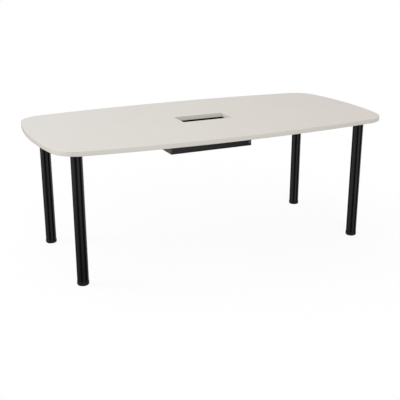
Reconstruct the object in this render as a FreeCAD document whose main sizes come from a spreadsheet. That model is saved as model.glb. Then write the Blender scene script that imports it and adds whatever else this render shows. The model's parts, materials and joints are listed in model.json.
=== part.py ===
import FreeCAD, Part
import math
import operator
import os
from types import SimpleNamespace

import Sketcher

# Oval meeting table: a bowed top with a cable cut-out, a cable tray below it and four round legs on
# levelling feet. The origin is on the floor under the middle of the top, +X runs along the table and
# -Y is its front.

SIZES = {
    # the whole table
    "table_height": 740.0,
    "overrun": 5.0,
    # table top and its edge bands
    "top_length": 2000.0,
    "top_width": 1000.0,
    "top_thickness": 25.0,
    "side_bow": 65.0,
    "end_bow": 57.0,
    "corner_radius": 150.0,
    "edge_band_thickness": 2.0,
    # cable cut-out
    "cutout_length": 306.0,
    "cutout_width": 142.0,
    "cutout_corner_radius": 5.0,
    # leg tubes
    "leg_diameter": 60.0,
    "leg_wall": 2.0,
    "leg_end_inset": 157.0,
    "leg_side_inset": 173.5,
    "push_gap": 0.1,
    # leg flanges and the grub screws that lock the tubes to them
    "flange_diameter": 110.0,
    "flange_thickness": 6.0,
    "flange_round": 2.0,
    "spigot_length": 45.0,
    "spigot_wall": 4.0,
    "grub_diameter": 6.0,
    "grub_length": 9.0,
    "grub_drop": 22.0,
    "grub_recess": 0.5,
    "grub_socket_flats": 3.0,
    "grub_socket_depth": 3.0,
    "grub_hole_gap": 0.6,
    # levelling feet
    "glide_height": 20.0,
    "glide_lip": 1.5,
    "glide_bottom_round": 7.0,
    "glide_top_round": 1.5,
    "insert_flange": 3.0,
    "insert_length": 30.0,
    "nut_across_flats": 17.0,
    "nut_height": 8.0,
    "nut_gap": 0.15,
    "stem_diameter": 10.0,
    "stem_bore_gap": 0.4,
    "stem_chamfer": 1.0,
    "stem_spare": 2.0,
    "collar_diameter": 18.0,
    "collar_height": 5.0,
    "collar_rise": 6.0,
    "foot_travel": 15.0,
    "thread_gap": 0.05,
    # wood screws
    "screw_head_diameter": 9.0,
    "screw_head_height": 2.8,
    "screw_head_bevel": 1.2,
    "screw_shank_diameter": 4.5,
    "screw_bite": 16.0,
    "screw_point": 4.0,
    "screw_recess_length": 4.6,
    "screw_recess_width": 1.1,
    "screw_recess_depth": 1.5,
    "screw_hole_gap": 0.5,
    "pilot_gap": 0.05,
    "pilot_spare": 1.0,
    # stiffener rails
    "rail_width": 40.0,
    "rail_height": 25.0,
    "rail_wall": 2.0,
    "rail_bend_radius": 1.0,
    "rail_flange_gap": 10.0,
    "rail_leg_setback": 40.0,
    "rail_screw_inset": 80.0,
    "rail_access_diameter": 12.0,
    "cap_thickness": 3.0,
    "cap_plug_length": 14.0,
    # cable tray
    "tray_length": 500.0,
    "tray_width": 240.0,
    "tray_depth": 140.0,
    "tray_sheet": 1.5,
    "tray_bend_radius": 2.0,
    "tray_flange": 22.0,
    "tray_screw_inset": 40.0,
    "end_plate_height": 92.0,
    "end_plate_gap": 0.3,
    "end_tab_length": 22.0,
    "end_tab_height": 32.0,
    "end_tab_rise": 4.0,
    "end_tongue_rise": 12.0,
    "end_tongue_height": 20.0,
    "end_screw_inset": 11.0,
    "end_screw_diameter": 5.0,
    "end_screw_spare": 2.5,
    "end_screw_hole_gap": 0.3,
    "end_screw_head_diameter": 9.5,
    "end_screw_head_height": 2.7,
    "end_screw_head_bevel": 1.3,
}

LEG_SCREW_COUNT = 4
RAIL_SCREW_COUNT = 5
TRAY_SCREW_COUNT = 4
FULL_TURN = 360
HALF_TURN = 180
HEXAGON_SIDES = 6
EDGE_ROUND_SHARE = 0.75
DIAGONAL_SHARE = math.sqrt(0.5)
HEXAGON_CORNER_SHARE = 1 / math.sqrt(3)
SAME_PLACE = 1e-4

OPERATIONS = {"+": operator.add, "-": operator.sub, "*": operator.mul, "/": operator.truediv}


class Size:
    """A length in millimetres, kept with the sheet expression that gives it."""

    def __init__(self, value, text):
        self.value = value
        self.text = text

    def joined(self, sign, other):
        other = other if isinstance(other, Size) else Size(other, str(other))
        return Size(OPERATIONS[sign](self.value, other.value), f"({self.text} {sign} {other.text})")

    def __add__(self, other):
        return self.joined("+", other)

    def __sub__(self, other):
        return self.joined("-", other)

    def __mul__(self, other):
        return self.joined("*", other)

    def __truediv__(self, other):
        return self.joined("/", other)

    def __neg__(self):
        return self * -1


def write_sheet(document):
    """Puts each driving size in a sheet cell under its own alias and returns the sizes by name."""
    sheet = document.addObject("Spreadsheet::Sheet", "Sizes")
    for row, (name, value) in enumerate(SIZES.items(), start=1):
        sheet.set(f"A{row}", name)
        sheet.set(f"B{row}", str(value))
        sheet.setAlias(f"B{row}", name)
    document.recompute()
    return SimpleNamespace(**{name: Size(getattr(sheet, name), f"{sheet.Name}.{name}") for name in SIZES})


doc = FreeCAD.newDocument("oval_table")
size = write_sheet(doc)
subparts = []

# Sizes that several pieces share
ZERO = size.table_height * 0
half_length = size.top_length / 2
half_width = size.top_width / 2
edge_band_round = size.edge_band_thickness * EDGE_ROUND_SHARE
under_top = size.table_height - size.top_thickness
leg_x = half_length - size.leg_end_inset
leg_y = half_width - size.leg_side_inset
leg_radius = size.leg_diameter / 2
tube_radius = leg_radius - size.leg_wall
tube_bottom = size.glide_height + size.insert_flange
tube_top = under_top - size.flange_thickness
push_radius = tube_radius - size.push_gap
flange_radius = size.flange_diameter / 2
flange_screw_place = (leg_radius + flange_radius) / 2 * DIAGONAL_SHARE
grub_height = tube_top - size.grub_drop
insert_top = tube_bottom + size.insert_length
stem_radius = size.stem_diameter / 2
collar_radius = size.collar_diameter / 2
collar_top = size.collar_rise + size.collar_height
screw_shank_radius = size.screw_shank_diameter / 2
screw_hole_radius = screw_shank_radius + size.screw_hole_gap
rail_y = leg_y - flange_radius - size.rail_flange_gap - size.rail_width / 2
rail_length = (leg_x - size.rail_leg_setback) * 2
rail_middle = under_top - size.rail_height / 2
rail_corner_radius = size.rail_bend_radius + size.rail_wall
rail_screw_start = size.rail_screw_inset - rail_length / 2
rail_screw_span = rail_length - size.rail_screw_inset * 2
tray_half_length = size.tray_length / 2
tray_half_width = size.tray_width / 2
tray_bottom = under_top - size.tray_depth
tray_floor = tray_bottom + size.tray_sheet
tray_screw_y = tray_half_width + size.tray_flange / 2
tray_screw_start = size.tray_screw_inset - tray_half_length
tray_screw_span = size.tray_length - size.tray_screw_inset * 2
end_plate_half_width = tray_half_width - size.tray_sheet - size.end_plate_gap
end_tab_bottom = tray_floor + size.end_tab_rise
end_screw_x = tray_half_length - size.end_screw_inset
end_screw_z = end_tab_bottom + size.end_tab_height / 2
end_screw_radius = size.end_screw_diameter / 2
end_tongue_bottom = tray_floor + size.end_tongue_rise
end_tongue_top = end_tongue_bottom + size.end_tongue_height

CORNERS = {
    "front_left": (-1, -1),
    "front_right": (1, -1),
    "rear_left": (-1, 1),
    "rear_right": (1, 1),
}
SIDES = {"front": -1, "rear": 1}


# Bodies, sketches and features

def new_body(label, x=ZERO, y=ZERO, turned=False):
    """A sub-part standing at x and y, turned half round the vertical if asked."""
    body = doc.addObject("PartDesign::Body", label)
    body.Label = label
    turn = HALF_TURN if turned else 0
    body.Placement = FreeCAD.Placement(FreeCAD.Vector(), FreeCAD.Rotation(FreeCAD.Vector(0, 0, 1), turn))
    body.setExpression("Placement.Base.x", x.text)
    body.setExpression("Placement.Base.y", y.text)
    subparts.append(body)
    return body


def new_sketch(body, name, plane="XY_Plane", offset=(ZERO, ZERO, ZERO)):
    """A sketch on one of the body's own planes, shifted along the sketch's three directions."""
    sketch = body.newObject("Sketcher::SketchObject", f"{body.Label}_{name}")
    support = next(item for item in body.Origin.OriginFeatures if item.Role == plane)
    sketch.AttachmentSupport = [(support, "")]
    sketch.MapMode = "FlatFace"
    for axis, shift in zip("xyz", offset):
        sketch.setExpression(f"AttachmentOffset.Base.{axis}", shift.text)
    return sketch


def at_height(height):
    """The shift that lifts a sketch off its plane by a height."""
    return (ZERO, ZERO, height)


def bind(sketch, kind, *places, value):
    """Adds a dimension to the sketch and ties it to the sheet."""
    index = sketch.addConstraint(Sketcher.Constraint(kind, *places, value.value))
    sketch.setExpression(f"Constraints[{index}]", value.text)


def hold(sketch, kind, geometry, point, value):
    """Holds one coordinate of a point, on the axis where the coordinate is nought."""
    axis = {"DistanceX": -2, "DistanceY": -1}[kind]
    if abs(value.value) < SAME_PLACE:
        sketch.addConstraint(Sketcher.Constraint("PointOnObject", geometry, point, axis))
    else:
        bind(sketch, kind, -1, 1, geometry, point, value=value)


def draw_polygon(sketch, corners):
    """Draws straight edges through the corners and holds each corner at its coordinates."""
    first = sketch.GeometryCount
    points = [FreeCAD.Vector(x.value, y.value, 0) for x, y in corners]
    following = points[1:] + points[:1]
    for start, end in zip(points, following):
        sketch.addGeometry(Part.LineSegment(start, end), False)
    for index in range(len(corners)):
        after = first + (index + 1) % len(corners)
        sketch.addConstraint(Sketcher.Constraint("Coincident", first + index, 2, after, 1))
    for index, (x, y) in enumerate(corners):
        hold(sketch, "DistanceX", first + index, 1, x)
        hold(sketch, "DistanceY", first + index, 1, y)


def draw_box(sketch, low, high):
    """Draws a rectangle between its low and its high corner."""
    draw_polygon(sketch, [low, (high[0], low[1]), high, (low[0], high[1])])


def draw_circle(sketch, x, y, radius):
    """Draws a circle about a point."""
    centre = FreeCAD.Vector(x.value, y.value, 0)
    circle = sketch.addGeometry(Part.Circle(centre, FreeCAD.Vector(0, 0, 1), radius.value), False)
    hold(sketch, "DistanceX", circle, 3, x)
    hold(sketch, "DistanceY", circle, 3, y)
    bind(sketch, "Radius", circle, value=radius)


def draw_hexagon(sketch, x, y, across_flats):
    """Draws a regular hexagon about a point, with two corners on a line along the sketch's X."""
    reach = across_flats * HEXAGON_CORNER_SHARE
    turns = [math.tau * side / HEXAGON_SIDES for side in range(HEXAGON_SIDES)]
    draw_polygon(sketch, [(x + reach * math.cos(turn), y + reach * math.sin(turn)) for turn in turns])


def draw_cross(sketch, length, width):
    """Draws a cross of two equal bars about the sketch's origin."""
    far = length / 2
    near = width / 2
    quarter = [(far, -near), (far, near), (near, near), (near, far), (-near, far), (-near, near)]
    draw_polygon(sketch, quarter + [(-x, -y) for x, y in quarter])


def add_arc(sketch, centre, radius, start, end):
    """Adds an arc, counted anticlockwise from its start angle to its end angle."""
    circle = Part.Circle(FreeCAD.Vector(*centre, 0), FreeCAD.Vector(0, 0, 1), radius)
    return sketch.addGeometry(Part.ArcOfCircle(circle, start, end), False)


def close_smoothly(sketch, pieces):
    """Joins each piece of an outline to the next one end to end, without a corner."""
    for piece, after in zip(pieces, pieces[1:] + pieces[:1]):
        sketch.addConstraint(Sketcher.Constraint("Tangent", piece, 2, after, 1))


def draw_rounded_box(sketch, y, length, width, radius):
    """Draws a rectangle with round corners, centred on the sketch's Y axis at y."""
    right = length / 2
    top = y + width / 2
    bottom = y - width / 2
    corner_x = right.value - radius.value
    corner_top = top.value - radius.value
    corner_bottom = bottom.value + radius.value
    sides = [
        ((-corner_x, bottom.value), (corner_x, bottom.value), (corner_x, corner_bottom)),
        ((right.value, corner_bottom), (right.value, corner_top), (corner_x, corner_top)),
        ((corner_x, top.value), (-corner_x, top.value), (-corner_x, corner_top)),
        ((-right.value, corner_top), (-right.value, corner_bottom), (-corner_x, corner_bottom)),
    ]
    pieces = []
    for quarter, (start, end, centre) in enumerate(sides):
        turn = (quarter - 1) * math.pi / 2
        line = Part.LineSegment(FreeCAD.Vector(*start, 0), FreeCAD.Vector(*end, 0))
        pieces.append(sketch.addGeometry(line, False))
        pieces.append(add_arc(sketch, centre, radius.value, turn, turn + math.pi / 2))
    close_smoothly(sketch, pieces)
    for line, kind in zip(pieces[::2], ("Horizontal", "Vertical", "Horizontal", "Vertical")):
        sketch.addConstraint(Sketcher.Constraint(kind, line))
    hold(sketch, "DistanceY", pieces[0], 1, bottom)
    hold(sketch, "DistanceX", pieces[2], 1, right)
    hold(sketch, "DistanceY", pieces[4], 1, top)
    hold(sketch, "DistanceX", pieces[6], 1, -right)
    for arc in pieces[1::2]:
        bind(sketch, "Radius", arc, value=radius)


def arc_radius(half_chord, bow):
    """The radius of an arc that bows out by bow in the middle of its chord."""
    return (half_chord * half_chord + bow * bow) / (bow * 2)


side_radius = arc_radius(half_length - size.end_bow, size.side_bow)
end_radius = arc_radius(half_width - size.side_bow, size.end_bow)
side_centre = half_width - side_radius
end_centre = half_length - end_radius


def corner_centre():
    """The point that lies corner_radius inside both the rear side's arc and the right end's arc."""
    reach_side = side_radius.value - size.corner_radius.value
    reach_end = end_radius.value - size.corner_radius.value
    apart = math.hypot(end_centre.value, side_centre.value)
    along = (apart**2 + reach_side**2 - reach_end**2) / (2 * apart)
    across = math.sqrt(reach_side**2 - along**2)
    ahead_x = end_centre.value / apart
    ahead_y = -side_centre.value / apart
    return (along * ahead_x + across * ahead_y, side_centre.value + along * ahead_y - across * ahead_x)


def draw_outline(sketch, inset):
    """Draws the bowed outline of the top, moved inwards by inset: four shallow arcs and four corner arcs."""
    corner_x, corner_y = corner_centre()
    end_turn = math.atan2(corner_y, corner_x - end_centre.value)
    side_turn = math.atan2(corner_y - side_centre.value, corner_x)
    corner = size.corner_radius - inset
    end = end_radius - inset
    side = side_radius - inset
    half_turn = math.pi
    pieces = []
    for flip in (1, -1):
        turn = 0 if flip == 1 else half_turn
        end_place = (flip * end_centre.value, 0)
        side_place = (0, flip * side_centre.value)
        first_corner = (flip * corner_x, flip * corner_y)
        second_corner = (-flip * corner_x, flip * corner_y)
        pieces.append(add_arc(sketch, end_place, end.value, turn - end_turn, turn + end_turn))
        pieces.append(add_arc(sketch, first_corner, corner.value, turn + end_turn, turn + side_turn))
        pieces.append(add_arc(sketch, side_place, side.value, turn + side_turn, turn + half_turn - side_turn))
        start = turn + half_turn - side_turn
        pieces.append(add_arc(sketch, second_corner, corner.value, start, turn + half_turn - end_turn))
    close_smoothly(sketch, pieces)
    for flip, (end_arc, first, side_arc, second) in zip((1, -1), (pieces[:4], pieces[4:])):
        hold(sketch, "DistanceX", end_arc, 3, end_centre * flip)
        hold(sketch, "DistanceY", end_arc, 3, ZERO)
        hold(sketch, "DistanceX", side_arc, 3, ZERO)
        hold(sketch, "DistanceY", side_arc, 3, side_centre * flip)
        for arc, radius in ((end_arc, end), (first, corner), (side_arc, side), (second, corner)):
            bind(sketch, "Radius", arc, value=radius)


def pad(body, sketch, length, backwards=False):
    """Grows the sketch into the body along its normal, or against it."""
    feature = body.newObject("PartDesign::Pad", f"{sketch.Name}_pad")
    feature.Profile = sketch
    feature.Reversed = backwards
    feature.setExpression("Length", length.text)
    return feature


def revolve(body, sketch):
    """Turns the sketch once round its own vertical axis."""
    feature = body.newObject("PartDesign::Revolution", f"{sketch.Name}_turned")
    feature.Profile = sketch
    feature.ReferenceAxis = (sketch, ["V_Axis"])
    feature.Angle = FULL_TURN
    return feature


def pocket(body, sketch, depth=None, along_normal=False):
    """Cuts the sketch into the body, to a depth or right through, and makes sure that it cuts."""
    doc.recompute()
    before = body.Tip.Shape.Volume
    feature = body.newObject("PartDesign::Pocket", f"{sketch.Name}_cut")
    feature.Profile = sketch
    feature.Reversed = along_normal
    if depth is None:
        feature.Type = "ThroughAll"
    else:
        feature.setExpression("Length", depth.text)
    doc.recompute()
    if feature.Shape.Volume >= before:
        raise RuntimeError(f"{feature.Name} cuts nothing")
    return feature


def fillet(body, radius, chosen):
    """Rounds the edges of the body that the test chooses."""
    doc.recompute()
    base = body.Tip
    edges = [f"Edge{number}" for number, edge in enumerate(base.Shape.Edges, start=1) if chosen(edge)]
    feature = body.newObject("PartDesign::Fillet", f"{body.Label}_round")
    feature.Base = (base, edges)
    feature.setExpression("Radius", radius.text)
    return feature


def repeat_along(body, features, sketch, span, count):
    """Repeats features in a row along the sketch's X, over a span."""
    pattern = body.newObject("PartDesign::LinearPattern", f"{body.Label}_row")
    pattern.Originals = features
    pattern.Direction = (sketch, ["H_Axis"])
    pattern.setExpression("Length", span.text)
    pattern.Occurrences = count
    body.Tip = pattern


def repeat_round(body, features, count):
    """Repeats features in a ring about the body's vertical axis."""
    axis = next(item for item in body.Origin.OriginFeatures if item.Role == "Z_Axis")
    pattern = body.newObject("PartDesign::PolarPattern", f"{body.Label}_ring")
    pattern.Originals = features
    pattern.Axis = (axis, [""])
    pattern.Angle = FULL_TURN
    pattern.Occurrences = count
    body.Tip = pattern


def arc_edges(*radii):
    """A test for flat arcs of the given radii."""
    def chosen(edge):
        return isinstance(edge.Curve, Part.Circle) and any(
            abs(edge.Curve.Radius - radius.value) < SAME_PLACE for radius in radii)
    return chosen


def edges_along_x(*places):
    """A test for edges that run along X at the given y and z."""
    def chosen(edge):
        start = edge.Vertexes[0].Point
        end = edge.Vertexes[-1].Point
        level = math.hypot(start.y - end.y, start.z - end.z) < SAME_PLACE
        return level and any(
            math.hypot(start.y - y.value, start.z - z.value) < SAME_PLACE for y, z in places)
    return chosen


def edges_at_height(*heights):
    """A test for edges that lie level at the given heights."""
    def chosen(edge):
        box = edge.BoundBox
        return any(
            abs(box.ZMin - height.value) < SAME_PLACE and abs(box.ZMax - height.value) < SAME_PLACE
            for height in heights)
    return chosen


# Table top

def make_table_top():
    """The core panel inside the edge bands, with the cut-out and the blind holes of every wood screw."""
    body = new_body("table_top")
    outline = new_sketch(body, "outline", offset=at_height(under_top))
    draw_outline(outline, size.edge_band_thickness)
    pad(body, outline, size.top_thickness)
    cutout = new_sketch(body, "cutout", offset=at_height(under_top))
    band = size.edge_band_thickness
    corner = size.cutout_corner_radius + band
    draw_rounded_box(cutout, ZERO, size.cutout_length + band * 2, size.cutout_width + band * 2, corner)
    pocket(body, cutout, along_normal=True)
    pilots = new_sketch(body, "pilots", offset=at_height(under_top))
    for x, y in screw_places():
        draw_circle(pilots, x, y, screw_shank_radius + size.pilot_gap)
    pocket(body, pilots, size.screw_bite + size.pilot_spare, along_normal=True)


def row_places(start, span, count, y):
    """Places evenly spread along X over a span."""
    return [(start + span * place / (count - 1), y) for place in range(count)]


def screw_places():
    """The places of all wood screws in the underside of the top."""
    places = [
        (leg_x * leg_side + flange_screw_place * side, leg_y * leg_row + flange_screw_place * row)
        for leg_side, leg_row in CORNERS.values() for side, row in CORNERS.values()]
    for side in SIDES.values():
        places += row_places(rail_screw_start, rail_screw_span, RAIL_SCREW_COUNT, rail_y * side)
        places += row_places(tray_screw_start, tray_screw_span, TRAY_SCREW_COUNT, tray_screw_y * side)
    return places


def make_edge_band():
    """The band round the outline of the top, with its outer edges rounded."""
    body = new_body("edge_band")
    ring = new_sketch(body, "ring", offset=at_height(under_top))
    draw_outline(ring, ZERO)
    draw_outline(ring, size.edge_band_thickness)
    pad(body, ring, size.top_thickness)
    fillet(body, edge_band_round, arc_edges(side_radius, end_radius, size.corner_radius))


def make_cutout_edge_band():
    """The band that lines the cable cut-out."""
    body = new_body("cutout_edge_band")
    ring = new_sketch(body, "ring", offset=at_height(under_top))
    band = size.edge_band_thickness
    outer_corner = size.cutout_corner_radius + band
    draw_rounded_box(ring, ZERO, size.cutout_length, size.cutout_width, size.cutout_corner_radius)
    draw_rounded_box(ring, ZERO, size.cutout_length + band * 2, size.cutout_width + band * 2, outer_corner)
    pad(body, ring, size.top_thickness)
    inside = edges_at_height(size.table_height, under_top)
    reach_x = (size.cutout_length / 2).value
    reach_y = (size.cutout_width / 2).value

    def inner(edge):
        box = edge.BoundBox
        within_x = max(abs(box.XMin), abs(box.XMax)) < reach_x + SAME_PLACE
        within_y = max(abs(box.YMin), abs(box.YMax)) < reach_y + SAME_PLACE
        return inside(edge) and within_x and within_y

    fillet(body, edge_band_round, inner)


# Wood screws, driven upwards

def add_wood_screw(body, x, y, seat, clamped):
    """A screw whose head bears up against the seat, with a bevelled head, a cross recess and a point."""
    head_radius = size.screw_head_diameter / 2
    head_bottom = seat - size.screw_head_height
    tip = seat + clamped + size.screw_bite
    section = new_sketch(body, "screw", "XZ_Plane", (x, ZERO, -y))
    draw_polygon(section, [
        (ZERO, head_bottom),
        (head_radius - size.screw_head_bevel, head_bottom),
        (head_radius, head_bottom + size.screw_head_bevel),
        (head_radius, seat),
        (screw_shank_radius, seat),
        (screw_shank_radius, tip - size.screw_point),
        (ZERO, tip),
    ])
    screw = revolve(body, section)
    cross = new_sketch(body, "recess", offset=(x, y, head_bottom))
    draw_cross(cross, size.screw_recess_length, size.screw_recess_width)
    recess = pocket(body, cross, size.screw_recess_depth, along_normal=True)
    return section, [screw, recess]


def make_screw_row(label, y, seat, clamped, start, span, count):
    """A row of wood screws along X."""
    body = new_body(label, y=y)
    section, features = add_wood_screw(body, start, ZERO, seat, clamped)
    repeat_along(body, features, section, span, count)


# Legs, from the flange under the top down to the foot

def make_leg_flange(label, leg):
    """A cast flange under the top, with a hollow spigot that stands in the tube."""
    body = new_body(label, *leg)
    spigot_bottom = tube_top - size.spigot_length
    spigot_bore = push_radius - size.spigot_wall
    section = new_sketch(body, "section", "XZ_Plane")
    draw_polygon(section, [
        (ZERO, under_top),
        (flange_radius, under_top),
        (flange_radius, tube_top),
        (push_radius, tube_top),
        (push_radius, spigot_bottom),
        (spigot_bore, spigot_bottom),
        (spigot_bore, tube_top),
        (ZERO, tube_top),
    ])
    revolve(body, section)
    rim = arc_edges(flange_radius)
    low = edges_at_height(tube_top)
    fillet(body, size.flange_round, lambda edge: rim(edge) and low(edge))
    thread = new_sketch(body, "grub_thread", "YZ_Plane")
    draw_circle(thread, ZERO, grub_height, size.grub_diameter / 2 + size.thread_gap)
    pocket(body, thread, leg_radius, along_normal=True)
    hole = new_sketch(body, "screw_hole", offset=at_height(tube_top))
    draw_circle(hole, flange_screw_place, flange_screw_place, screw_hole_radius)
    repeat_round(body, [pocket(body, hole, along_normal=True)], LEG_SCREW_COUNT)


def make_leg_flange_screws(label, leg):
    """The wood screws of one leg flange."""
    body = new_body(label, *leg)
    place = flange_screw_place
    section, features = add_wood_screw(body, place, place, tube_top, size.flange_thickness)
    repeat_round(body, features, LEG_SCREW_COUNT)


def make_leg_tube(label, leg):
    """A round tube with the grub screw's hole on the side that faces the middle of the table."""
    body = new_body(label, *leg)
    section = new_sketch(body, "section", offset=at_height(tube_bottom))
    draw_circle(section, ZERO, ZERO, leg_radius)
    draw_circle(section, ZERO, ZERO, tube_radius)
    pad(body, section, tube_top - tube_bottom)
    hole = new_sketch(body, "grub_hole", "YZ_Plane")
    draw_circle(hole, ZERO, grub_height, size.grub_diameter / 2 + size.grub_hole_gap)
    pocket(body, hole, leg_radius + size.overrun, along_normal=True)


def make_grub_screw(label, leg):
    """A headless screw with a hexagon socket, screwed into the spigot just inside the tube's face."""
    body = new_body(label, *leg)
    outer_end = leg_radius - size.grub_recess
    section = new_sketch(body, "section", "YZ_Plane", at_height(outer_end - size.grub_length))
    draw_circle(section, ZERO, grub_height, size.grub_diameter / 2)
    pad(body, section, size.grub_length)
    socket = new_sketch(body, "socket", "YZ_Plane", at_height(outer_end))
    draw_hexagon(socket, ZERO, grub_height, size.grub_socket_flats)
    pocket(body, socket, size.grub_socket_depth)


def make_foot_insert(label, leg):
    """A plug pushed into the tube's lower end, with a collar under the tube and a pocket for the nut."""
    body = new_body(label, *leg)
    bore = stem_radius + size.stem_bore_gap
    section = new_sketch(body, "section", "XZ_Plane")
    draw_polygon(section, [
        (bore, size.glide_height),
        (leg_radius, size.glide_height),
        (leg_radius, tube_bottom),
        (push_radius, tube_bottom),
        (push_radius, insert_top),
        (bore, insert_top),
    ])
    revolve(body, section)
    seat = new_sketch(body, "nut_seat", offset=at_height(insert_top))
    draw_hexagon(seat, ZERO, ZERO, size.nut_across_flats + size.nut_gap * 2)
    pocket(body, seat, size.nut_height)


def make_foot_nut(label, leg):
    """The hexagon nut that carries the levelling stem."""
    body = new_body(label, *leg)
    section = new_sketch(body, "section", offset=at_height(insert_top - size.nut_height))
    draw_hexagon(section, ZERO, ZERO, size.nut_across_flats)
    draw_circle(section, ZERO, ZERO, stem_radius + size.thread_gap)
    pad(body, section, size.nut_height)


def make_levelling_stem(label, leg):
    """The threaded stem, long enough to stay in the nut at full travel, with a collar held in the glide."""
    body = new_body(label, *leg)
    top = insert_top + size.foot_travel + size.stem_spare
    section = new_sketch(body, "section", "XZ_Plane")
    draw_polygon(section, [
        (ZERO, size.collar_rise),
        (collar_radius, size.collar_rise),
        (collar_radius, collar_top),
        (stem_radius, collar_top),
        (stem_radius, top - size.stem_chamfer),
        (stem_radius - size.stem_chamfer, top),
        (ZERO, top),
    ])
    revolve(body, section)


def make_foot_glide(label, leg):
    """The moulded foot, a little wider than the tube, with a well-rounded lower edge."""
    body = new_body(label, *leg)
    glide_radius = leg_radius + size.glide_lip
    section = new_sketch(body, "section", "XZ_Plane")
    draw_polygon(section, [
        (ZERO, ZERO),
        (glide_radius, ZERO),
        (glide_radius, size.glide_height),
        (stem_radius, size.glide_height),
        (stem_radius, collar_top),
        (collar_radius, collar_top),
        (collar_radius, size.collar_rise),
        (ZERO, size.collar_rise),
    ])
    revolve(body, section)
    rim = arc_edges(glide_radius)
    low = edges_at_height(ZERO)
    high = edges_at_height(size.glide_height)
    fillet(body, size.glide_bottom_round, lambda edge: rim(edge) and low(edge))
    fillet(body, size.glide_top_round, lambda edge: rim(edge) and high(edge))


LEG_PIECES = {
    "leg_flange": make_leg_flange,
    "leg_flange_screws": make_leg_flange_screws,
    "leg_tube": make_leg_tube,
    "leg_grub_screw": make_grub_screw,
    "foot_insert": make_foot_insert,
    "foot_nut": make_foot_nut,
    "levelling_stem": make_levelling_stem,
    "foot_glide": make_foot_glide,
}


def make_leg(corner):
    """All pieces of one leg, turned so that the grub screw faces the middle of the table."""
    side, row = CORNERS[corner]
    leg = (leg_x * side, leg_y * row, side > 0)
    for name, make in LEG_PIECES.items():
        make(f"{name}_{corner}", leg)


# Stiffener rails

def make_rail(side):
    """A rectangular tube under the top, with a row of screw holes above and wider driver holes below."""
    body = new_body(f"stiffener_rail_{side}", y=rail_y * SIDES[side])
    section = new_sketch(body, "section", "YZ_Plane", at_height(rail_length / -2))
    wall = size.rail_wall
    draw_rounded_box(section, rail_middle, size.rail_width, size.rail_height, rail_corner_radius)
    inner_width = size.rail_width - wall * 2
    inner_height = size.rail_height - wall * 2
    draw_rounded_box(section, rail_middle, inner_width, inner_height, size.rail_bend_radius)
    pad(body, section, rail_length)
    above = new_sketch(body, "screw_hole", offset=at_height(rail_middle))
    draw_circle(above, rail_screw_start, ZERO, screw_hole_radius)
    below = new_sketch(body, "driver_hole", offset=at_height(rail_middle))
    draw_circle(below, rail_screw_start, ZERO, size.rail_access_diameter / 2)
    holes = [pocket(body, above, along_normal=True), pocket(body, below)]
    repeat_along(body, holes, above, rail_screw_span, RAIL_SCREW_COUNT)
    make_screw_row(
        f"rail_screws_{side}", rail_y * SIDES[side], under_top - wall, wall,
        rail_screw_start, rail_screw_span, RAIL_SCREW_COUNT)


def make_rail_cap(corner):
    """A moulded cap over the end of a rail, with a plug inside the tube."""
    side, row = CORNERS[corner]
    body = new_body(f"rail_cap_{corner}", rail_length / 2 * side, rail_y * row, side < 0)
    face = new_sketch(body, "face", "YZ_Plane")
    draw_rounded_box(face, rail_middle, size.rail_width, size.rail_height, rail_corner_radius)
    pad(body, face, size.cap_thickness)
    inset = (size.rail_wall + size.push_gap) * 2
    plug_width = size.rail_width - inset
    plug_height = size.rail_height - inset
    plug = new_sketch(body, "plug", "YZ_Plane")
    draw_rounded_box(plug, rail_middle, plug_width, plug_height, size.rail_bend_radius)
    pad(body, plug, size.cap_plug_length, backwards=True)


# Cable tray

def make_cable_tray():
    """A folded sheet: a floor, two full-height walls and a flange outside each wall, screwed to the top."""
    body = new_body("cable_tray")
    sheet = size.tray_sheet
    wall = tray_half_width
    inside = wall - sheet
    rim = wall + size.tray_flange
    flange_bottom = under_top - sheet
    section = new_sketch(body, "section", "YZ_Plane", at_height(-tray_half_length))
    right_half = [
        (wall, tray_bottom),
        (wall, flange_bottom),
        (rim, flange_bottom),
        (rim, under_top),
        (inside, under_top),
        (inside, tray_floor),
    ]
    draw_polygon(section, right_half + [(-y, z) for y, z in reversed(right_half)])
    pad(body, section, size.tray_length)
    tight = edges_along_x(
        (inside, tray_floor), (-inside, tray_floor), (wall, flange_bottom), (-wall, flange_bottom))
    wide = edges_along_x((wall, tray_bottom), (-wall, tray_bottom), (inside, under_top), (-inside, under_top))
    fillet(body, size.tray_bend_radius, tight)
    fillet(body, size.tray_bend_radius + sheet, wide)
    cut_tray_ends(body)
    hole = new_sketch(body, "screw_holes", offset=at_height(flange_bottom))
    for side in SIDES.values():
        draw_circle(hole, tray_screw_start, tray_screw_y * side, screw_hole_radius)
    holes = [pocket(body, hole, along_normal=True)]
    repeat_along(body, holes, hole, tray_screw_span, TRAY_SCREW_COUNT)
    for side, sign in SIDES.items():
        make_screw_row(
            f"tray_screws_{side}", tray_screw_y * sign, under_top - sheet, sheet,
            tray_screw_start, tray_screw_span, TRAY_SCREW_COUNT)


def cut_tray_ends(body):
    """At each end, the screw hole of the end plate in one wall and the notch for its tongue in the other."""
    reach = tray_half_width + size.overrun
    gap = size.end_plate_gap
    notch_inner = tray_half_length - size.tray_sheet - gap
    notch_outer = tray_half_length + size.overrun
    for side, sign in SIDES.items():
        towards_front = sign < 0
        screw = new_sketch(body, f"end_screw_{side}", "XZ_Plane")
        draw_circle(screw, end_screw_x * -sign, end_screw_z, end_screw_radius + size.end_screw_hole_gap)
        pocket(body, screw, reach, along_normal=towards_front)
        notch = new_sketch(body, f"end_notch_{side}", "XZ_Plane")
        low = (notch_inner * sign, end_tongue_bottom - gap)
        high = (notch_outer * sign, end_tongue_top + gap)
        draw_box(notch, low, high)
        pocket(body, notch, reach, along_normal=towards_front)


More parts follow.
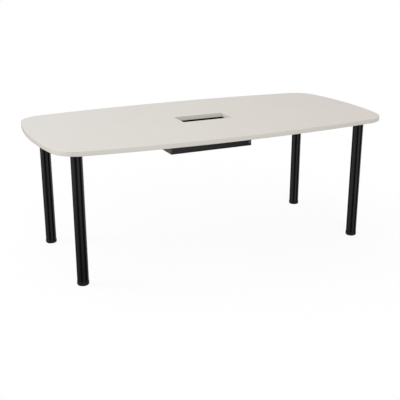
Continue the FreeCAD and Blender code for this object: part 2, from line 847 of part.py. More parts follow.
def make_tray_end_plate(side, turned):
    """A plate across the tray's end, lower than the walls so that cables pass over it: its tongue sits in a
    notch of one wall, and its tab is screwed to the other."""
    body = new_body(f"tray_end_plate_{side}", turned=turned)
    half = end_plate_half_width
    top = tray_floor + size.end_plate_height
    sheet = size.tray_sheet
    face = new_sketch(body, "face", "YZ_Plane", at_height(tray_half_length - sheet))
    draw_polygon(face, [
        (-half, tray_floor),
        (half, tray_floor),
        (half, end_tongue_bottom),
        (tray_half_width, end_tongue_bottom),
        (tray_half_width, end_tongue_top),
        (half, end_tongue_top),
        (half, top),
        (-half, top),
    ])
    pad(body, face, sheet)
    low_corners = edges_along_x((half, tray_floor), (-half, tray_floor))
    fillet(body, size.tray_bend_radius + size.end_plate_gap, low_corners)
    tab = new_sketch(body, "tab", "XZ_Plane", at_height(half))
    tab_end = tray_half_length - sheet - size.end_tab_length
    draw_box(tab, (tab_end, end_tab_bottom), (tray_half_length, end_tab_bottom + size.end_tab_height))
    pad(body, tab, sheet, backwards=True)
    thread = new_sketch(body, "thread", "XZ_Plane")
    draw_circle(thread, end_screw_x, end_screw_z, end_screw_radius + size.thread_gap)
    pocket(body, thread, tray_half_width, along_normal=True)


def make_tray_end_screw(side, turned):
    """The machine screw that holds one end plate: its head outside the wall, its thread in the tab."""
    body = new_body(f"tray_end_screw_{side}", turned=turned)
    head_radius = size.end_screw_head_diameter / 2
    head_face = -tray_half_width - size.end_screw_head_height
    tip = size.tray_sheet + size.end_screw_spare - end_plate_half_width
    section = new_sketch(body, "section", offset=(end_screw_x, ZERO, end_screw_z))
    draw_polygon(section, [
        (ZERO, head_face),
        (head_radius - size.end_screw_head_bevel, head_face),
        (head_radius, head_face + size.end_screw_head_bevel),
        (head_radius, -tray_half_width),
        (end_screw_radius, -tray_half_width),
        (end_screw_radius, tip),
        (ZERO, tip),
    ])
    revolve(body, section)
    cross = new_sketch(body, "recess", "XZ_Plane", (end_screw_x, end_screw_z, -head_face))
    draw_cross(cross, size.screw_recess_length, size.screw_recess_width)
    pocket(body, cross, size.screw_recess_depth)


make_table_top()
make_edge_band()
make_cutout_edge_band()
for corner_name in CORNERS:
    make_leg(corner_name)
    make_rail_cap(corner_name)
for side_name in SIDES:
    make_rail(side_name)
make_cable_tray()
for end_name, is_left in (("right", False), ("left", True)):
    make_tray_end_plate(end_name, is_left)
    make_tray_end_screw(end_name, is_left)

doc.recompute()
for item in doc.Objects:
    if "Invalid" in item.State or "Error" in item.State:
        raise RuntimeError(f"{item.Name} failed: {item.State}")
for piece in subparts:
    if piece.Shape.isNull() or not piece.Shape.isValid():
        raise RuntimeError(f"{piece.Label} has no valid shape")

os.makedirs("parts", exist_ok=True)
for piece in subparts:
    piece.Shape.exportStep(f"parts/{piece.Label}.step")
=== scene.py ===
"""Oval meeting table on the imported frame, in metres: its finishes, fine pieces, studio and camera."""
import json
import math

import bmesh
import bpy
import numpy as np
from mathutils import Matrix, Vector


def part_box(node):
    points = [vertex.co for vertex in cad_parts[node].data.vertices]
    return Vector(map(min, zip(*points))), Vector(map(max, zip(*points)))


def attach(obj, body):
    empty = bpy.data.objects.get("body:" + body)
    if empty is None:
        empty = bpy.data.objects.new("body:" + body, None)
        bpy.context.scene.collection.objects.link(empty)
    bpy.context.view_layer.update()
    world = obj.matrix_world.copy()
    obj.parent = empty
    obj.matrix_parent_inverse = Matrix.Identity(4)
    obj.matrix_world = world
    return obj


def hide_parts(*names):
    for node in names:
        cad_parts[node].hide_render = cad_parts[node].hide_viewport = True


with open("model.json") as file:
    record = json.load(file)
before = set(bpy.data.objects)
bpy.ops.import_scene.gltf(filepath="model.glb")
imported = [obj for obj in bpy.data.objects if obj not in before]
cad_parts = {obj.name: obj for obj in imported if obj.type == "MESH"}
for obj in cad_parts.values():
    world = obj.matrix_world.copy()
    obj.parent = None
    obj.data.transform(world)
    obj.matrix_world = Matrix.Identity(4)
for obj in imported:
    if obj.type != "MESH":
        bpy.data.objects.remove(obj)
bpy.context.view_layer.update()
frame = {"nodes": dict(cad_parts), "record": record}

MM = 0.001
TURN = 2 * math.pi
QUARTER = TURN / 4
CORNERS = ("front_left", "front_right", "rear_left", "rear_right")

# Sizes of the top, as the board is cut and banded
TOP_LENGTH = 2000 * MM
SIDE_BOW = 65 * MM
END_BOW = 57 * MM
CORNER_RADIUS = 150 * MM
BAND_THICKNESS = 2 * MM
BAND_ROUND = 1.5 * MM
GLUE_LINE = 0.2 * MM
CUTOUT_RADIUS = 5 * MM

# How finely the top is drawn: points along each side, corner and end of its outline, on each corner of
# the cut-out's band, on each round of a band's section, and across each face of the board
SIDE_POINTS, CORNER_POINTS, END_POINTS = 160, 48, 96
CUTOUT_POINTS = 13
ROUND_POINTS = 9
FACE_POINTS = 7

# Sizes of the levelling screw, M10 by 1.5
THREAD_PITCH = 1.5 * MM
THREAD_DEPTH = 0.8 * MM
THREAD_RADIUS = 5 * MM
THREAD_LEAD_IN = 1.6 * MM
STEM_COLLAR_HEIGHT = 5 * MM
# Its thread is a triangle wave, stretched and shifted so that its crests and roots are cut flat
THREAD_STRETCH, THREAD_SHIFT = 1.4, 0.2
STEPS_A_PITCH, STEPS_A_TURN = 10, 48

# Faces that meet at more than this angle keep a sharp edge, and points nearer than this are one
SHARP_ANGLE = math.radians(35)
WELD_DISTANCE = 0.001 * MM

# The photograph's camera
PHOTO_AZIMUTH = math.radians(-25.178)
PHOTO_ELEVATION = math.radians(18.555)
PHOTO_DISTANCE = 4384.8 * MM
PHOTO_TARGET = Vector((-15.06, 11.32, 239.69)) * MM
PHOTO_LENS = 66.53
SENSOR_WIDTH = 36.0

# What reflections see below the horizon: pale panels, each given by the bearing of its middle, the
# half-angles of its even part and of the whole, all in degrees, and its brightness
STUDIO_PANELS = (
    (7, 17, 28, 0.8),
    (-95, 27, 50, 0.62),
    (120, 28, 58, 0.9),
)
STUDIO_GAPS = 0.005
# Panels and gaps dim to a share of that as the upward part of the direction falls from high to low
DIM_SHARE, DIM_LOW, DIM_HIGH = 0.1, -0.47, -0.25
# Above the horizon reflections see white to the left and a warm tone to the right, blended as the
# rightward part of the direction rises from low to high
STUDIO_LEFT, STUDIO_RIGHT = "FFFFFF", "E9DBD3"
SIDE_LOW, SIDE_HIGH = 0.22, 0.58
# This takes over from the panels as the upward part rises from low to high
HORIZON_LOW, HORIZON_HIGH = -0.02, 0.2
# The even light that reaches everything, and the softboxes: place, width and power in watts
EVEN_LIGHT = 0.66
SOFTBOXES = {
    "front_softbox": (Vector((-0.8, -7.0, 3.4)), 3.0, 215.0),
    "left_softbox": (Vector((-6.6, 2.4, 3.2)), 3.0, 300.0),
}
# The floor: its half width, and how clear it is to the camera near the table and far from it
FLOOR_HALF = 20.0
FLOOR_NEAR, FLOOR_FAR = 0.6, 2.2
CLEAR_NEAR, CLEAR_FAR = 0.9, 1.0

# Sockets of the Mix node when it mixes colours
MIX_FACTOR, MIX_FIRST, MIX_SECOND, MIX_RESULT = 0, 6, 7, 2


# Nodes and colours

def linear(hex_colour):
    """A colour written as sRGB hex, as linear red, green, blue and an alpha of one."""
    coded = [int(hex_colour[k:k + 2], 16) / 255 for k in (0, 2, 4)]
    return [c / 12.92 if c <= 0.04045 else ((c + 0.055) / 1.055) ** 2.4 for c in coded] + [1.0]


def add_node(tree, kind, inputs, **settings):
    """Adds a node with its settings, and gives each input a value, or a link where it is an output."""
    node = tree.nodes.new(kind)
    for name, value in settings.items():
        setattr(node, name, value)
    for name, value in inputs.items():
        if isinstance(value, bpy.types.NodeSocket):
            tree.links.new(value, node.inputs[name])
        else:
            node.inputs[name].default_value = value
    return node


def new_material(name, **uniform):
    """An empty material, with the shader's uniform values set on its own sockets: the material, its
    tree, its shader and its object coordinates."""
    material = bpy.data.materials.new(name)
    material.use_nodes = True
    tree = material.node_tree
    shader = tree.nodes["Principled BSDF"]
    for socket, value in uniform.items():
        shader.inputs[socket.replace("_", " ")].default_value = value
    place = add_node(tree, "ShaderNodeTexCoord", {}).outputs["Object"]
    return material, tree, shader, place


def connect(tree, shader, colour, roughness, relief, depth):
    """Links a shader to the nodes of its colour and roughness, and of a relief of the given depth."""
    bump = add_node(tree, "ShaderNodeBump", {"Height": relief.outputs["Fac"], "Distance": depth})
    tree.links.new(colour.outputs[MIX_RESULT], shader.inputs["Base Color"])
    tree.links.new(roughness.outputs["Result"], shader.inputs["Roughness"])
    tree.links.new(bump.outputs["Normal"], shader.inputs["Normal"])


# Materials

def melamine():
    """Melamine-faced board, pressed against a pearl-textured plate. The eye sees a warm off-white, matt
    from above, with a soft sheen at a low angle."""
    material, tree, shader, place = new_material("melamine_pearl_white", IOR=1.5)
    # The pearl grain is about 0.8 mm, drawn at 5 mm because finer grain falls between the pixels
    grain = add_node(tree, "ShaderNodeTexNoise", {"Vector": place, "Scale": 1 / (5 * MM), "Detail": 3})
    # The decor paper's tone drifts a little over a hand's width
    drift = add_node(tree, "ShaderNodeTexNoise", {
        "Vector": place, "Scale": 1 / (160 * MM), "Detail": 2})
    colour = add_node(tree, "ShaderNodeMix", {
        MIX_FACTOR: drift.outputs["Fac"], MIX_FIRST: linear("D8D5CF"), MIX_SECOND: linear("D4D1CB"),
    }, data_type="RGBA")
    roughness = add_node(tree, "ShaderNodeMapRange", {
        "Value": grain.outputs["Fac"], "To Min": 0.27, "To Max": 0.36})
    connect(tree, shader, colour, roughness, grain, 0.03 * MM)
    return material


def edge_band_abs():
    """Extruded ABS edge band, trimmed and buffed. The eye sees the board's white in a soft satin, with
    faint lines along the band."""
    material, tree, shader, _ = new_material("abs_edge_band", IOR=1.53)
    lengths = add_node(tree, "ShaderNodeUVMap", {}, uv_map="band").outputs["UV"]
    # Die lines are about 0.3 mm apart, drawn at 1.2 mm so that they show, and fade within 250 mm
    stretched = add_node(tree, "ShaderNodeMapping", {
        "Vector": lengths, "Scale": (1 / (250 * MM), 1 / (1.2 * MM), 1.0)})
    lines = add_node(tree, "ShaderNodeTexNoise", {
        "Vector": stretched.outputs["Vector"], "Scale": 1.0, "Detail": 2})
    colour = add_node(tree, "ShaderNodeMix", {
        MIX_FACTOR: lines.outputs["Fac"], MIX_FIRST: linear("DAD7D1"), MIX_SECOND: linear("D5D1CB"),
    }, data_type="RGBA")
    roughness = add_node(tree, "ShaderNodeMapRange", {
        "Value": lines.outputs["Fac"], "To Min": 0.34, "To Max": 0.46})
    connect(tree, shader, colour, roughness, lines, 0.01 * MM)
    return material


def powder_coat(name, dark, light, smoothest, roughest):
    """Polyester powder coat, baked on steel, between two tones and two roughnesses. The eye sees a thick
    even skin, slightly rippled where the powder flowed: the satin black of the legs and the tray takes
    soft upright reflections. The tray's end plates get a matt grey that takes hardly any: painted light,
    a lighter copy of the black coat that stands in for the light falling on their faces."""
    material, tree, shader, place = new_material(name, IOR=1.5)
    # The flow ripple, or orange peel, is about 1.5 mm across, drawn at 4 mm so that it shows
    ripple = add_node(tree, "ShaderNodeTexNoise", {"Vector": place, "Scale": 1 / (4 * MM), "Detail": 1})
    # The film's thickness drifts over about 60 mm
    drift = add_node(tree, "ShaderNodeTexNoise", {"Vector": place, "Scale": 1 / (60 * MM), "Detail": 2})
    colour = add_node(tree, "ShaderNodeMix", {
        MIX_FACTOR: drift.outputs["Fac"], MIX_FIRST: linear(dark), MIX_SECOND: linear(light),
    }, data_type="RGBA")
    roughness = add_node(tree, "ShaderNodeMapRange", {
        "Value": ripple.outputs["Fac"], "To Min": smoothest, "To Max": roughest})
    connect(tree, shader, colour, roughness, ripple, 0.01 * MM)
    return material


def black_plastic():
    """Moulded polyamide from a spark-eroded tool. The eye sees a matt charcoal black, a little greyer
    where the floor rubs it."""
    material, tree, shader, place = new_material("moulded_polyamide_black", IOR=1.53)
    # The eroded grain is about 0.3 mm, drawn at 1.5 mm so that it shows
    grain = add_node(tree, "ShaderNodeTexNoise", {
        "Vector": place, "Scale": 1 / (1.5 * MM), "Detail": 2})
    # Scuffs are patches of about 12 mm, and only the lowest 4 mm of a foot has them
    patches = add_node(tree, "ShaderNodeTexNoise", {
        "Vector": place, "Scale": 1 / (12 * MM), "Detail": 3})
    height = add_node(tree, "ShaderNodeSeparateXYZ", {"Vector": place}).outputs["Z"]
    low = add_node(tree, "ShaderNodeMapRange", {
        "Value": height, "From Min": 0.0, "From Max": 4 * MM, "To Min": 1.0, "To Max": 0.0})
    scuff = add_node(tree, "ShaderNodeMath", {0: low.outputs["Result"], 1: patches.outputs["Fac"]},
                     operation="MULTIPLY")
    colour = add_node(tree, "ShaderNodeMix", {
        MIX_FACTOR: scuff.outputs["Value"], MIX_FIRST: linear("080809"), MIX_SECOND: linear("202020"),
    }, data_type="RGBA")
    roughness = add_node(tree, "ShaderNodeMapRange", {
        "Value": grain.outputs["Fac"], "To Min": 0.42, "To Max": 0.56})
    connect(tree, shader, colour, roughness, grain, 0.04 * MM)
    return material


def zinc_plated_steel():
    """Zinc-plated steel, passivated blue. The eye sees a bright cool grey metal whose tint shifts
    slightly from place to place."""
    material, tree, shader, place = new_material("zinc_plated_steel", Metallic=1.0)
    # Plating crystals blend into cloudy patches about 2 mm across
    cloud = add_node(tree, "ShaderNodeTexNoise", {"Vector": place, "Scale": 1 / (2 * MM), "Detail": 3})
    colour = add_node(tree, "ShaderNodeMix", {
        MIX_FACTOR: cloud.outputs["Fac"], MIX_FIRST: linear("C3C8CE"), MIX_SECOND: linear("CFCBC2"),
    }, data_type="RGBA")
    roughness = add_node(tree, "ShaderNodeMapRange", {
        "Value": cloud.outputs["Fac"], "To Min": 0.24, "To Max": 0.4})
    connect(tree, shader, colour, roughness, cloud, 0.01 * MM)
    return material


FINISHES = {
    "melamine_board": melamine(),
    "edge_band_abs": edge_band_abs(),
    "black_powder_coat": powder_coat("powder_coated_steel_black", "0A0A0B", "0F0F10", 0.17, 0.25),
    # The end plates' grey is painted light: a lighter copy of the tray's black coat, standing in for the
    # light on their faces
    "grey_powder_coat": powder_coat("powder_coated_steel_painted_light_grey", "868585", "8E8D8D", 0.5, 0.64),
    "black_plastic": black_plastic(),
    "zinc_plated_steel": zinc_plated_steel(),
}
for subpart in frame["record"]["subparts"]:
    frame["nodes"][subpart["node"]].material_slots[0].material = FINISHES[subpart["material_slot"]]


# Meshes from grids of points

def skin(name, points, slot, body, replaced, lengths=None, poles=False):
    """A piece made of four-sided faces over a grid of points, rows by columns. The rows close into a
    loop. The columns do too, or with poles their two ends each shrink to a point. The faces are turned so
    that the volume that they enclose is positive. lengths, along and across, make a map in metres named
    band."""
    rows, columns = points.shape[:2]
    row, column = np.meshgrid(np.arange(rows), np.arange(columns - poles), indexing="ij")
    face_rows = np.stack([row, row + 1, row + 1, row], axis=-1).reshape(-1, 4)
    face_columns = np.stack([column, column, column + 1, column + 1], axis=-1).reshape(-1, 4)
    faces = (face_rows % rows) * columns + face_columns % columns
    vertices = points.reshape(-1, 3)
    centred = vertices - vertices.mean(axis=0)
    first, second, third, fourth = (centred[faces[:, k]] for k in range(4))
    volume = np.sum(first * (np.cross(second, third) + np.cross(third, fourth)))
    order = [0, 1, 2, 3] if volume > 0 else [3, 2, 1, 0]
    mesh = bpy.data.meshes.new(name)
    mesh.from_pydata(vertices.tolist(), [], faces[:, order].tolist())
    if lengths:
        along, across = lengths
        corners = np.stack([along[face_rows], across[face_columns]], axis=-1)[:, order]
        mesh.uv_layers.new(name="band").data.foreach_set("uv", corners.astype(np.float32).ravel())
    if poles:
        welded = bmesh.new()
        welded.from_mesh(mesh)
        bmesh.ops.remove_doubles(welded, verts=welded.verts, dist=WELD_DISTANCE)
        welded.to_mesh(mesh)
        welded.free()
    mesh.polygons.foreach_set("use_smooth", np.ones(len(mesh.polygons), bool))
    mesh.set_sharp_from_angle(angle=SHARP_ANGLE)
    mesh.materials.append(FINISHES[slot])
    piece = bpy.data.objects.new(name, mesh)
    bpy.context.scene.collection.objects.link(piece)
    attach(piece, body)
    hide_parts(replaced)


def turn(first, last, count, whole):
    """Unit vectors whose angle goes evenly from first to last, which is left out unless whole."""
    angle = np.linspace(first, last, count, endpoint=whole)
    return np.stack([np.cos(angle), np.sin(angle)], axis=-1)


def arc_loop(arcs, whole):
    """A loop of arcs, each given as centre, radius, first and last angle and count, as three arrays:
    every point's centre, radius and outward direction. whole arcs keep their ends, for a loop with
    straight runs between them."""
    centres = np.concatenate([np.tile(centre, (count, 1)) for centre, _, _, _, count in arcs])
    radii = np.concatenate([np.full(count, radius) for _, radius, _, _, count in arcs])
    directions = np.concatenate([turn(first, last, count, whole) for _, _, first, last, count in arcs])
    return centres, radii, directions


def offset_loop(loop, offset):
    """The loop's points moved out by an offset: each is its centre plus its radius and the offset along
    its direction."""
    centres, radii, directions = loop
    return centres + (radii + offset)[:, None] * directions


def add_heights(flat, heights):
    """A grid of flat points in space: point i, j lies at height j."""
    column_heights = np.broadcast_to(heights[None, :, None], flat.shape[:2] + (1,))
    return np.concatenate([flat, column_heights], axis=-1)


def carry(loop, section):
    """A section of offsets and heights carried round a loop: point i, j lies off the loop's point i by
    the section's offset j, at the section's height j."""
    offsets, heights = section.T
    return add_heights(np.stack([offset_loop(loop, offset) for offset in offsets], axis=1), heights)


def run_lengths(points):
    """The distance from the first point of a closed line to each point, and last right round."""
    steps = np.linalg.norm(np.roll(points, -1, axis=0) - points, axis=-1)
    return np.concatenate([[0.0], np.cumsum(steps)])


# The board and its edge bands

board_low, board_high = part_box("table_top")
underside, surface = board_low.z, board_high.z
cutout_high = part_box("cutout_edge_band")[1]
half_length = TOP_LENGTH / 2
half_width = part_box("edge_band")[1].y


def outline_arcs():
    """The outline as eight arcs, anticlockwise from the right end: each side and end is an arc that bows
    out from chord to middle by its bow, and each corner is an arc that touches the two from inside."""
    side_chord, end_chord = half_length - END_BOW, half_width - SIDE_BOW
    side_radius = (side_chord ** 2 + SIDE_BOW ** 2) / (2 * SIDE_BOW)
    end_radius = (end_chord ** 2 + END_BOW ** 2) / (2 * END_BOW)
    side_centre, end_centre = half_width - side_radius, half_length - end_radius
    # The corner's centre lies at the two radii less its own from the centres of the side and the end
    gap = math.hypot(end_centre, side_centre)
    to_side, to_end = side_radius - CORNER_RADIUS, end_radius - CORNER_RADIUS
    along = (to_side ** 2 - to_end ** 2 + gap ** 2) / (2 * gap)
    off = math.sqrt(to_side ** 2 - along ** 2)
    toward = np.array([end_centre, -side_centre]) / gap
    aside = np.array([toward[1], -toward[0]])
    x, y = np.array([0.0, side_centre]) + along * toward + off * aside
    end_angle = math.atan2(y, x - end_centre)
    side_angle = math.atan2(y - side_centre, x)
    return [
        ((end_centre, 0), end_radius, -end_angle, end_angle, END_POINTS),
        ((x, y), CORNER_RADIUS, end_angle, side_angle, CORNER_POINTS),
        ((0, side_centre), side_radius, side_angle, math.pi - side_angle, SIDE_POINTS),
        ((-x, y), CORNER_RADIUS, math.pi - side_angle, math.pi - end_angle, CORNER_POINTS),
        ((-end_centre, 0), end_radius, math.pi - end_angle, math.pi + end_angle, END_POINTS),
        ((-x, -y), CORNER_RADIUS, math.pi + end_angle, math.pi + side_angle, CORNER_POINTS),
        ((0, -side_centre), side_radius, math.pi + side_angle, TURN - side_angle, SIDE_POINTS),
        ((x, -y), CORNER_RADIUS, TURN - side_angle, TURN - end_angle, CORNER_POINTS),
    ]


def cutout_arcs(half_x, half_y, radius, count):
    """The four corner arcs of a rounded rectangle, anticlockwise from the right rear corner."""
    x, y = half_x - radius, half_y - radius
    return [
        ((sx * x, sy * y), radius, k * QUARTER, (k + 1) * QUARTER, count)
        for k, (sx, sy) in enumerate(((1, 1), (-1, 1), (-1, -1), (1, -1)))
    ]


def strip_section(inner, outer, inner_round, outer_round):
    """The closed section of an upright strip as tall as the board: four corner rounds, joined by straight
    runs, from the outer top corner over the inner side to the outer bottom corner."""
    corners = (
        (outer - outer_round, surface - outer_round, outer_round),
        (inner + inner_round, surface - inner_round, inner_round),
        (inner + inner_round, underside + inner_round, inner_round),
        (outer - outer_round, underside + outer_round, outer_round),
    )
    rounds = [
        np.array([offset, height]) + radius * turn(k * QUARTER, (k + 1) * QUARTER, ROUND_POINTS, True)
        for k, (offset, height, radius) in enumerate(corners)
    ]
    return np.concatenate(rounds)


def make_band(name, loop, section):
    """An edge band: a strip section carried round a loop."""
    lengths = run_lengths(offset_loop(loop, 0.0)), run_lengths(section)
    skin(name + "_visual", carry(loop, section), "edge_band_abs", "table", name, lengths)


def make_board(outline, cutout_half_x, cutout_half_y):
    """The board as one closed skin. A ring of points goes round the cut-out and another round the
    outline, with as many points for each matching stretch, and straight lines join them: out along the
    top face, down, and back along the under face."""
    outer = offset_loop(outline, -BAND_THICKNESS)
    arcs = cutout_arcs(cutout_half_x, cutout_half_y, CUTOUT_RADIUS + BAND_THICKNESS, CORNER_POINTS)
    corners = [
        np.array(centre) + radius * turn(first, last, count, False)
        for centre, radius, first, last, count in arcs
    ]
    # Each straight run leads to a corner's first point from that point's mirror image
    runs = []
    for corner, flip, count in zip(corners, ((1, -1), (-1, 1)) * 2, (END_POINTS, SIDE_POINTS) * 2):
        runs += [np.linspace(corner[0] * flip, corner[0], count, endpoint=False), corner]
    inner = np.concatenate(runs)
    outward = np.linspace(0.0, 1.0, FACE_POINTS)
    shares = np.concatenate([outward, outward[::-1]])
    heights = np.repeat([surface, underside], FACE_POINTS)
    flat = inner[:, None] * (1 - shares)[None, :, None] + outer[:, None] * shares[None, :, None]
    skin("table_top_visual", add_heights(flat, heights), "melamine_board", "table", "table_top")


outline = arc_loop(outline_arcs(), False)
cutout = arc_loop(cutout_arcs(
    cutout_high.x - BAND_THICKNESS, cutout_high.y - BAND_THICKNESS, CUTOUT_RADIUS, CUTOUT_POINTS), True)
make_board(outline, cutout_high.x, cutout_high.y)
make_band("edge_band", outline, strip_section(-BAND_THICKNESS, 0.0, GLUE_LINE, BAND_ROUND))
make_band("cutout_edge_band", cutout, strip_section(0.0, BAND_THICKNESS, BAND_ROUND, GLUE_LINE))


# The levelling screws

def make_stem(corner):
    """A levelling screw: a round collar, then a shank whose radius at each angle and height is the
    thread's radius less its depth times a flat-topped wave that climbs one pitch a turn. Both ends close
    to a point, and the top narrows along its lead-in."""
    node = "levelling_stem_" + corner
    low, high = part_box(node)
    middle = (low + high) / 2
    collar = (high.x - low.x) / 2
    shank_start = low.z + STEM_COLLAR_HEIGHT
    steps = int((high.z - shank_start) / THREAD_PITCH * STEPS_A_PITCH)
    shank = np.linspace(shank_start, high.z, steps)
    angle = np.linspace(0.0, TURN, STEPS_A_TURN, endpoint=False)
    phase = shank[None] / THREAD_PITCH - angle[:, None] / TURN
    wave = np.clip(THREAD_STRETCH * np.abs(2 * (phase % 1.0) - 1) - THREAD_SHIFT, 0.0, 1.0)
    lead_in = THREAD_RADIUS - THREAD_DEPTH + (high.z - shank) * THREAD_DEPTH / THREAD_LEAD_IN
    threaded = np.minimum(THREAD_RADIUS - THREAD_DEPTH * wave, lead_in[None])
    below = np.tile([0.0, collar, collar], (STEPS_A_TURN, 1))
    radius = np.concatenate([below, threaded, np.zeros((STEPS_A_TURN, 1))], axis=1)
    height = np.concatenate([[low.z, low.z, shank_start], shank, [high.z]])
    around = turn(0.0, TURN, STEPS_A_TURN, False)
    flat = np.array([middle.x, middle.y]) + radius[:, :, None] * around[:, None]
    points = add_heights(flat, height)
    skin(node + "_visual", points, "zinc_plated_steel", "foot_" + corner, node, poles=True)


for corner in CORNERS:
    make_stem(corner)


# The studio

def make_softbox(name, place, width, power):
    """A square soft light at a place, aimed at the middle of the top and left out of reflections, so
    that the top shows no glare."""
    light = bpy.data.lights.new(name, "AREA")
    light.size = width
    light.energy = power
    light.color = linear("FFFDFA")[:3]
    lamp = bpy.data.objects.new(name, light)
    lamp.location = place
    lamp.rotation_mode = "QUATERNION"
    lamp.rotation_quaternion = (Vector((0, 0, surface)) - place).to_track_quat("-Z", "Y")
    lamp.visible_glossy = False
    bpy.context.scene.collection.objects.link(lamp)


def add_panels(tree, axes):
    """The brightness below the horizon in each direction: the gaps' and the panels' by bearing, dimmed
    by how far the direction points down."""
    ahead = add_node(tree, "ShaderNodeMath", {0: axes["Y"], 1: -1.0}, operation="MULTIPLY")
    bearing = add_node(tree, "ShaderNodeMath", {0: axes["X"], 1: ahead.outputs[0]}, operation="ARCTAN2")
    below = STUDIO_GAPS
    for middle, even, whole, brightness in STUDIO_PANELS:
        off = add_node(tree, "ShaderNodeMath", {0: bearing.outputs[0], 1: math.radians(middle)},
                       operation="SUBTRACT")
        within = add_node(tree, "ShaderNodeMath", {0: off.outputs[0], 1: math.pi, 2: -math.pi},
                          operation="WRAP")
        aside = add_node(tree, "ShaderNodeMath", {0: within.outputs[0]}, operation="ABSOLUTE")
        panel = add_node(tree, "ShaderNodeMapRange", {
            "Value": aside.outputs[0], "From Min": math.radians(even), "From Max": math.radians(whole),
            "To Min": brightness, "To Max": 0.0,
        }, interpolation_type="SMOOTHSTEP")
        below = add_node(tree, "ShaderNodeMath", {0: below, 1: panel.outputs["Result"]}).outputs[0]
    dim = add_node(tree, "ShaderNodeMapRange", {
        "Value": axes["Z"], "From Min": DIM_LOW, "From Max": DIM_HIGH, "To Min": DIM_SHARE,
    }, interpolation_type="SMOOTHSTEP")
    dimmed = add_node(tree, "ShaderNodeMath", {0: below, 1: dim.outputs["Result"]},
                      operation="MULTIPLY")
    return dimmed.outputs[0]


def make_world():
    """White to the camera. To reflections it is a studio: above the horizon white, and warmer to the
    right; below it a pale panel in front, one at each side and dark gaps between them. To everything else
    it is an even soft light."""
    world = bpy.data.worlds.new("studio")
    bpy.context.scene.world = world
    world.use_nodes = True
    world.cycles.sampling_method = "NONE"
    tree = world.node_tree
    ray = add_node(tree, "ShaderNodeLightPath", {}).outputs
    direction = add_node(tree, "ShaderNodeTexCoord", {}).outputs["Generated"]
    axes = add_node(tree, "ShaderNodeSeparateXYZ", {"Vector": direction}).outputs
    above = add_node(tree, "ShaderNodeMapRange", {
        "Value": axes["Z"], "From Min": HORIZON_LOW, "From Max": HORIZON_HIGH,
    }, interpolation_type="SMOOTHSTEP")
    side = add_node(tree, "ShaderNodeMapRange", {
        "Value": axes["X"], "From Min": SIDE_LOW, "From Max": SIDE_HIGH})
    upper = add_node(tree, "ShaderNodeMix", {
        MIX_FACTOR: side.outputs["Result"], MIX_FIRST: linear(STUDIO_LEFT),
        MIX_SECOND: linear(STUDIO_RIGHT),
    }, data_type="RGBA")
    studio = add_node(tree, "ShaderNodeMix", {
        MIX_FACTOR: above.outputs["Result"], MIX_FIRST: add_panels(tree, axes),
        MIX_SECOND: upper.outputs[MIX_RESULT],
    }, data_type="RGBA")
    lit = add_node(tree, "ShaderNodeMix", {
        MIX_FACTOR: ray["Is Glossy Ray"], MIX_FIRST: [EVEN_LIGHT] * 3 + [1.0],
        MIX_SECOND: studio.outputs[MIX_RESULT],
    }, data_type="RGBA")
    seen = add_node(tree, "ShaderNodeMath", {0: ray["Is Camera Ray"], 1: ray["Is Transmission Ray"]},
                    operation="MAXIMUM")
    shown = add_node(tree, "ShaderNodeMix", {
        MIX_FACTOR: seen.outputs[0], MIX_FIRST: lit.outputs[MIX_RESULT], MIX_SECOND: linear("FFFFFF"),
    }, data_type="RGBA")
    tree.links.new(shown.outputs[MIX_RESULT], tree.nodes["Background"].inputs["Color"])


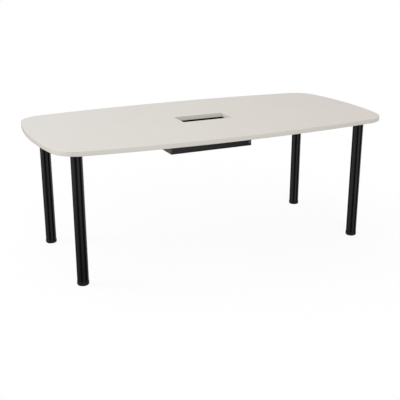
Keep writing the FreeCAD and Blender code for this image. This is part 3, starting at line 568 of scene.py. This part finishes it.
def white_floor():
    """White floor paint. The camera sees mostly through it to the white behind, with a faint share of
    the table's shadow that fades out away from the table. It is clear from below, so a foot that is
    screwed out below it still shows. Light that bounces off it sees a pale grey."""
    material = bpy.data.materials.new("studio_floor_white")
    material.use_nodes = True
    tree = material.node_tree
    tree.nodes.clear()
    place = add_node(tree, "ShaderNodeTexCoord", {}).outputs["Object"]
    seen = add_node(tree, "ShaderNodeLightPath", {}).outputs["Is Camera Ray"]
    away = add_node(tree, "ShaderNodeVectorMath", {0: place}, operation="LENGTH").outputs["Value"]
    fade = add_node(tree, "ShaderNodeMapRange", {
        "Value": away, "From Min": FLOOR_NEAR, "From Max": FLOOR_FAR,
        "To Min": CLEAR_NEAR, "To Max": CLEAR_FAR,
    }, interpolation_type="SMOOTHSTEP")
    upper = add_node(tree, "ShaderNodeMath", {0: fade.outputs["Result"], 1: seen}, operation="MULTIPLY")
    lower = add_node(tree, "ShaderNodeNewGeometry", {}).outputs["Backfacing"]
    share = add_node(tree, "ShaderNodeMath", {0: upper.outputs[0], 1: lower}, operation="MAXIMUM")
    tone = add_node(tree, "ShaderNodeMix", {
        MIX_FACTOR: seen, MIX_FIRST: linear("A6A6A6"), MIX_SECOND: linear("FCFCFC"),
    }, data_type="RGBA")
    paint = add_node(tree, "ShaderNodeBsdfDiffuse", {"Color": tone.outputs[MIX_RESULT]})
    clear = add_node(tree, "ShaderNodeBsdfTransparent", {})
    mixed = add_node(tree, "ShaderNodeMixShader", {
        0: share.outputs[0], 1: paint.outputs[0], 2: clear.outputs[0]})
    add_node(tree, "ShaderNodeOutputMaterial", {"Surface": mixed.outputs[0]})
    return material


def make_floor():
    """A wide square floor under the table, left out of reflections, which see the studio instead."""
    mesh = bpy.data.meshes.new("floor")
    square = [(-1, -1), (1, -1), (1, 1), (-1, 1)]
    mesh.from_pydata([(x * FLOOR_HALF, y * FLOOR_HALF, 0.0) for x, y in square], [], [(0, 1, 2, 3)])
    mesh.materials.append(white_floor())
    floor = bpy.data.objects.new("floor", mesh)
    bpy.context.scene.collection.objects.link(floor)
    floor.visible_glossy = False


make_world()
make_floor()
for lamp_name, lamp_settings in SOFTBOXES.items():
    make_softbox(lamp_name, *lamp_settings)


# The camera

back = Vector((
    math.sin(PHOTO_AZIMUTH) * math.cos(PHOTO_ELEVATION),
    -math.cos(PHOTO_AZIMUTH) * math.cos(PHOTO_ELEVATION),
    math.sin(PHOTO_ELEVATION),
))
camera = bpy.data.objects.new("camera", bpy.data.cameras.new("camera"))
camera.data.lens = PHOTO_LENS
camera.data.sensor_width = SENSOR_WIDTH
camera.location = PHOTO_TARGET + back * PHOTO_DISTANCE
camera.rotation_mode = "QUATERNION"
camera.rotation_quaternion = (-back).to_track_quat("-Z", "Y")
bpy.context.scene.collection.objects.link(camera)
bpy.context.scene.camera = camera
bpy.context.scene.view_settings.view_transform = "Standard"
